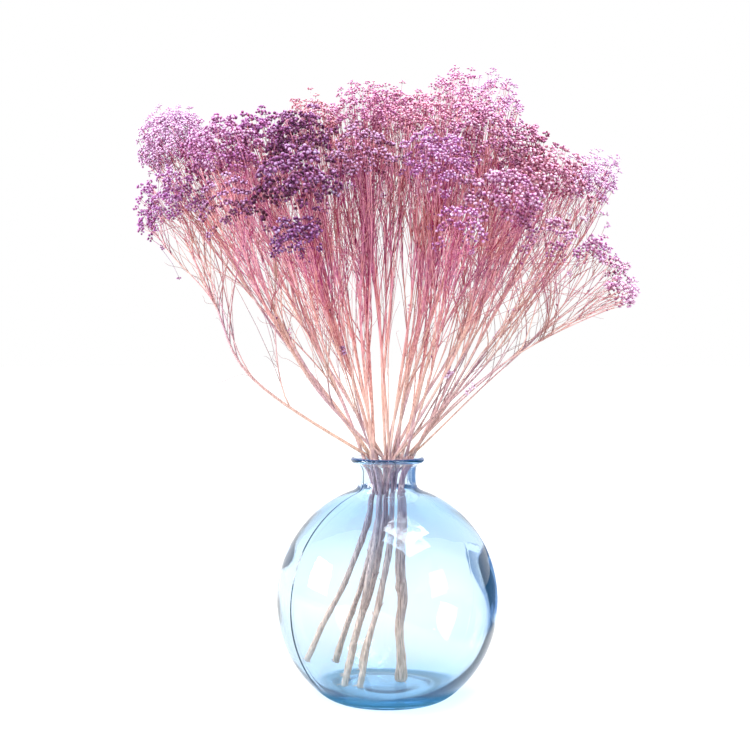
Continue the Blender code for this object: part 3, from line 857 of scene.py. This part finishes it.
def bloom_material(dye):
    """Dry dyed seed heads: each has a tone of its own, with painted shade mixed in, and pales from
    its stalk to its tip, partly its own colour and partly a painted highlight, and each bloom turns
    the dye's hue a little."""
    dark, middle, light = DYES[dye]
    made, shader, give, add = new_material(f"{dye}_seed_heads")
    shade = add("Attribute", attribute_name="shade").outputs["Fac"]
    tip = add("Attribute", attribute_name="tip").outputs["Fac"]
    turn = add("Attribute", attribute_name="hue").outputs["Fac"]
    place = add("TexCoord").outputs["Object"]
    clumps = add("TexNoise", {"Vector": place, "Scale": 22.0, "Detail": 2.0})
    speckle = add("TexNoise", {"Vector": place, "Scale": 1400.0, "Detail": 2.0})
    drift = add("Math", (clumps, 0.9, -0.45), operation="MULTIPLY_ADD")
    grain = add("Math", (speckle, 0.3, -0.15), operation="MULTIPLY_ADD")
    paled = add("Math", (shade, tip), operation="ADD")
    for change in (drift, grain):
        paled = add("Math", (paled, change), operation="ADD")
    dyed = ramp(add, paled, ((0.0, dark), (0.45, middle), (1.0, light)))
    centred = add("Math", (turn, 0.5), operation="ADD")
    dyed = add("HueSaturation", {"Hue": centred, "Color": dyed})
    bump = add("Bump", {"Height": speckle, "Strength": 0.4, "Distance": 0.0003})
    give(shader, {"Base Color": dyed, "Normal": bump, "Roughness": 0.38})
    give(shader, {"Specular IOR Level": 0.3, "Sheen Weight": 0.05})
    return made


dye_finishes = {dye: bloom_material(dye) for dye in DYES}
for stem, looks in LOOKS.items():
    seed_mm, hue, paleness, openness, fullness = np.array(looks).T
    limbs, wires, head_of, middles, sizes, facing = growth[stem]
    closeness = SEEDS_PER_AREA * fullness * (1 - 0.3 * openness)
    tufts_wanted = closeness * (1000 * sizes / seed_mm) ** 2 / TUFT
    of, ends, reached = [], [], []
    for number, wanted in enumerate(tufts_wanted):
        own = np.flatnonzero(head_of == number)
        turn, rise = even_cap(max(6, int(wanted) - len(own)), -0.32)
        out = 0.98 - 0.36 * draw.uniform(0, 1, len(turn)) ** 1.6
        twin = np.full(len(turn), number)
        tips = spread_in_heads(middles, sizes, facing, twin, turn + 1.2, rise, out)
        low = (draw.uniform(0, 1, len(turn)) < TRAILING) * draw.uniform(0.3, 1.4, len(turn))
        tips = warped(tips) + draw.normal(0, 0.11 * sizes[number], tips.shape)
        tips = tips - low[:, None] * sizes[number] * facing[number]
        of.append(own[nearest(tips, wires[own, 3])])
        ends.append(tips)
        reached.append(np.where(low > 0, 0.2, 0.55))
    of, ends, reached = map(np.concatenate, (of, ends, reached))
    apart = np.linalg.norm(ends - wires[of, 3], axis=1)
    leave = np.clip(1.0 - 14.0 * apart, reached, 0.96)
    start = spots(wires[of], leave)
    ahead = unit(start - spots(wires[of], leave - 0.05))
    reach = np.linalg.norm(ends - start, axis=1, keepdims=True)
    rising = unit(unit(ends - start) + 0.6 * ahead)
    corners = [start, start + 0.35 * reach * ahead, ends - 0.30 * reach * rising, ends]
    sprigs = twigs(corners, SPRIG_SWAY, (0.5, 1.0))
    shade = draw.uniform(0.1, 0.5, len(of))
    parts = [drawn(sprigs, 4, SPRIG_RADIUS, 3, shade=shade, tip=0.0, hue=hue[head_of[of]])]

    stray_of = draw.choice(len(looks), math.ceil(STRAYS * len(looks)), replace=False)
    leave = draw.uniform(0.15, 0.55, len(stray_of))
    start = spots(limbs[stray_of], leave)
    ahead = unit(spots(limbs[stray_of], leave + 0.05) - start)
    way = unit(ahead + draw.normal(0, 0.25, ahead.shape))
    stray_ends = start + draw.uniform(*STRAY_LENGTH, len(stray_of))[:, None] * way
    strays = grown(limbs, stray_of, leave, stray_ends, way, 0.3, (0.3, 0.3), 0.0)
    parts.append(drawn(strays, 6, SPRIG_RADIUS, 3, shade=0.3, tip=0.0, hue=hue[stray_of]))

    on = draw.integers(0, len(wires), BUDS * len(looks))
    buds = spots(wires[on], draw.uniform(0.0, 0.7, len(on)))
    axes = unit(unit(wires[on, 3] - wires[on, 0]) + draw.normal(0, 0.5, buds.shape))
    radii = draw.uniform(*BUD_RADIUS, len(on))
    bud_heads = buds + 2.2 * radii[:, None] * axes
    bud_hue = hue[head_of[on]]
    parts.append(stalklets(buds, bud_heads, bud_hue))
    shade = draw.uniform(0.0, 0.4, len(on))
    parts.append(seed_heads(bud_heads, axes, radii, 0.4, shade, (0.3, -1.0), bud_hue))

    bearing = draw.uniform(0, 1, len(wires)) < BEARING * fullness[head_of]
    stray_tufts = along(strays, np.array(STRAY_TUFTS)).reshape(-1, 3)
    stray_of = np.repeat(stray_of, len(STRAY_TUFTS))
    tuft_head = np.concatenate([head_of[bearing], head_of[of], stray_of])
    roots = np.concatenate([wires[bearing, 3], ends, stray_tufts])
    heart = (middles - 0.5 * sizes[:, None] * facing)[tuft_head]
    twig_way = [unit(wires[bearing, 3] - wires[bearing, 2]), rising]
    twig_way = np.concatenate([*twig_way, np.repeat(way, len(STRAY_TUFTS), 0)])
    middle_way = unit(unit(roots - heart) + 0.5 * twig_way + draw.normal(0, 0.15, roots.shape))
    # How high each tuft sits in its bloom, for painted shade: low seeds come out darker and top ones
    # paler, as if lit from above; strays count as at the top, so they come out pale.
    high = ((roots - middles[tuft_head]) * facing[tuft_head]).sum(axis=1) / sizes[tuft_head]
    high[-len(stray_of):] = 2.0
    bigness = np.ones(len(roots))
    bigness[bearing.sum():-len(stray_of)] = np.where(reached < 0.5, 0.7, 1.0)
    bigness[-len(stray_of):] = STRAY_SIZE
    spin = 2 * math.pi * np.arange(TUFT - 1) / (TUFT - 1)
    spin = spin + draw.uniform(0, 2 * math.pi, (len(roots), 1))
    lean = math.radians(TUFT_ANGLE)
    around = spokes(middle_way, ASLANT, spin)
    axes = math.cos(lean) * middle_way[:, None] + math.sin(lean) * around
    axes = np.concatenate([middle_way[:, None], axes], 1).reshape(-1, 3)
    axes = unit(axes + draw.normal(0, 0.16, axes.shape))
    tuft_head = np.repeat(tuft_head, TUFT)
    radii = 0.001 * seed_mm[tuft_head] * np.repeat(bigness, TUFT)
    radii = radii * draw.uniform(0.72, 1.05, len(axes))
    length = draw.uniform(2.0, 3.0, len(axes)) * (1 + 0.5 * openness[tuft_head]) * radii
    roots = np.repeat(roots, TUFT, 0)
    seeds = roots + length[:, None] * axes
    parts.append(stalklets(roots, seeds, hue[tuft_head]))
    stretch = 0.05 + 0.35 * openness[tuft_head, None]
    # A seed's tone: random, plus its bloom's paleness, plus painted shade by its height in the bloom.
    shade = draw.uniform(-0.02, 0.42, len(axes)) + paleness[tuft_head]
    shade = shade + 0.22 * np.repeat(np.clip(high, -0.25, 2), TUFT)
    seed_hue = hue[tuft_head] + draw.normal(0, 0.018, len(axes))
    parts.append(seed_heads(seeds, axes, radii, stretch, shade, (0.48, -0.6), seed_hue))
    blooms = make_piece(f"blooms_{stem}", parts, dye_finishes[SLOT_DYES[stem]])
    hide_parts(*[f"bloom_{stem}_{number + 1}" for number in range(len(looks))])

# The table, the light and the camera
# A white table that never ends, one soft box overhead, one on the left and a weak one on the
# right. What glass and camera see is a white room with a dark right side and a dim front.

# The cloth is what the table scatters, the glow what it gives off: painted dark blue on the right,
# standing in for a dark side of the room, and painted shadow in a ring under the vase's foot with a
# painted teal tint within, both only as the glass shows them; plain elsewhere, and one cloth for
# light already scattered.
TABLE_HALF = 9
NAVY = (0.10, 0.22, 0.50, 1.0)
PAINTED_DARK_RIGHT_CLOTH = (0.05, 0.14, 0.34, 1.0)
PAINTED_FOOT_SHADE_CLOTH = (0.02, 0.30, 0.42, 1.0)
PLAIN_CLOTH = (0.45, 0.45, 0.45, 1.0)
SCATTERING_CLOTH = (0.40, 0.38, 0.38, 1.0)
PAINTED_DARK_RIGHT_GLOW = (0.20, 0.50, 1.0, 1.0)
PAINTED_FOOT_SHADE_GLOW = (0.05, 0.74, 1.0, 1.0)

scene = bpy.context.scene
scene.view_settings.view_transform = "Standard"


def soft_box(name, place, aim, size, watts):
    """A square area light at `place` that faces `aim`."""
    lamp = bpy.data.lights.new(name, "AREA")
    lamp.size = size
    lamp.energy = watts
    box = bpy.data.objects.new(name, lamp)
    box.location = place
    box.rotation_euler = (Vector(aim) - Vector(place)).to_track_quat("-Z", "Y").to_euler()
    scene.collection.objects.link(box)


def smooth_step(add, value, start, end, low, high):
    """A number that goes from low to high as the value goes from start to end, level at both."""
    step = {"Value": value, "From Min": start, "From Max": end, "To Min": low, "To Max": high}
    return add("MapRange", step, interpolation_type="SMOOTHSTEP").outputs[0]


def table_material():
    """White, and lit from within for all but scattered light, more so far from the vase. What the
    glass shows of it is painted: dark blue on the right, standing in for a dark side of the room, and
    under the foot a painted shadow ring with a painted teal tint within."""
    made, shader, give, add = new_material("white_table")
    rays = add("LightPath").outputs
    place = add("TexCoord").outputs["Object"]
    far = add("VectorMath", (place,), operation="LENGTH").outputs["Value"]
    glow = {"Value": far, "From Min": 0.25, "From Max": 2.0, "To Min": 0.42, "To Max": 0.74}
    glow = add("MapRange", glow)
    # Painted dark: on the right the glass sees the table dark blue.
    sideways = add("VectorMath", (place, (1.0, -0.12, 0.0)), operation="DOT_PRODUCT")
    right = smooth_step(add, sideways.outputs["Value"], 0.19, 0.27, 1.0, 0.12)
    # Painted shadow: a ring under the foot, lighter and teal within, seen only through the glass.
    ring = smooth_step(add, far, 0.066, 0.080, 0.34, 1.0)
    middle = smooth_step(add, far, 0.046, 0.058, 0.66, 0.0)
    under = add("Math", (ring, middle), operation="MAXIMUM")
    shaded = add("Math", (right, under), operation="MULTIPLY")
    dim = add("Math", (glow, shaded), operation="MULTIPLY")
    seen = add("Mix", {0: rays["Is Camera Ray"], 2: dim, 3: glow})
    scattered = add("Math", (1.0, rays["Is Diffuse Ray"]), operation="SUBTRACT")
    amount = add("Math", (seen, scattered), operation="MULTIPLY")
    pale = add("Math", (right, rays["Is Camera Ray"]), operation="MAXIMUM")
    lit = add("Math", (under, rays["Is Camera Ray"]), operation="MAXIMUM")
    cloth = blend(add, pale, PAINTED_DARK_RIGHT_CLOTH, blend(add, lit, PAINTED_FOOT_SHADE_CLOTH, PLAIN_CLOTH))
    cloth = add("VectorMath", {0: cloth, "Scale": lit}, operation="SCALE")
    cloth = blend(add, rays["Is Diffuse Ray"], cloth, SCATTERING_CLOTH)
    glowing = blend(add, pale, PAINTED_DARK_RIGHT_GLOW, blend(add, lit, PAINTED_FOOT_SHADE_GLOW, WHITE))
    give(shader, {"Base Color": cloth, "Roughness": 0.8})
    give(shader, {"Emission Color": glowing, "Emission Strength": amount})
    return made


table_mesh = bpy.data.meshes.new("white_table")
corners = [(x * TABLE_HALF, y * TABLE_HALF, 0) for x, y in ((-1, -1), (1, -1), (1, 1), (-1, 1))]
table_mesh.from_pydata(corners, [], [(0, 1, 2, 3)])
table_mesh.materials.append(table_material())
table = bpy.data.objects.new("white_table", table_mesh)
scene.collection.objects.link(table)

soft_box("overhead", (0.45, -0.25, 1.8), (0.0, 0.0, 0.4), 0.9, 34)
soft_box("left", (-1.8, -0.35, 0.75), (0.0, 0.0, 0.35), 0.8, 34)
soft_box("right", (1.8, -1.2, 0.9), (0.0, 0.0, 0.3), 0.7, 9)

world = bpy.data.worlds.new("white_room")
world.use_nodes = True
scene.world = world
give, add = tree_tools(world.node_tree)
axes = add("SeparateXYZ", (add("TexCoord").outputs["Generated"],)).outputs
rays = add("LightPath").outputs
leftwards = smooth_step(add, axes["X"], 0.1, -0.9, 0.0, 0.45)
seen_room = smooth_step(add, axes["Y"], 0.15, 0.75, 0.0, 0.85)
for brighter in (leftwards, smooth_step(add, axes["Z"], 0.3, 0.9, 0.0, 0.30), 0.26):
    seen_room = add("Math", (seen_room, brighter), operation="ADD")
soft_room = smooth_step(add, axes["Z"], -0.2, 0.9, 0.45, 0.85)
soft_left = add("Math", (leftwards, 0.6), operation="MULTIPLY")
for brighter in (soft_left, smooth_step(add, axes["Y"], 0.1, -0.9, 0.0, 0.85)):
    soft_room = add("Math", (soft_room, brighter), operation="ADD")
scattered = add("Mix", {0: rays["Is Diffuse Ray"], 2: seen_room, 3: soft_room})
bright = add("Mix", {0: rays["Is Camera Ray"], 2: scattered, 3: 1.0})
tint = blend(add, smooth_step(add, bright, 0.2, 0.8, 0.0, 1.0), NAVY, WHITE)
give(world.node_tree.nodes["Background"], {"Color": tint, "Strength": bright})

PHOTO_SIZE = 750
FOCAL_PIXELS = 1500
HORIZON_ROW = 312.7
EYE = (-0.0125, -1.5, 0.386)
camera_data = bpy.data.cameras.new("camera")
camera_data.sensor_width = 36.0
camera_data.lens = camera_data.sensor_width * FOCAL_PIXELS / PHOTO_SIZE
camera = bpy.data.objects.new("camera", camera_data)
pitch = math.atan((PHOTO_SIZE / 2 - HORIZON_ROW) / FOCAL_PIXELS)
camera.location = EYE
camera.rotation_euler = (math.pi / 2 - pitch, 0.0, 0.0)
scene.collection.objects.link(camera)
scene.camera = camera
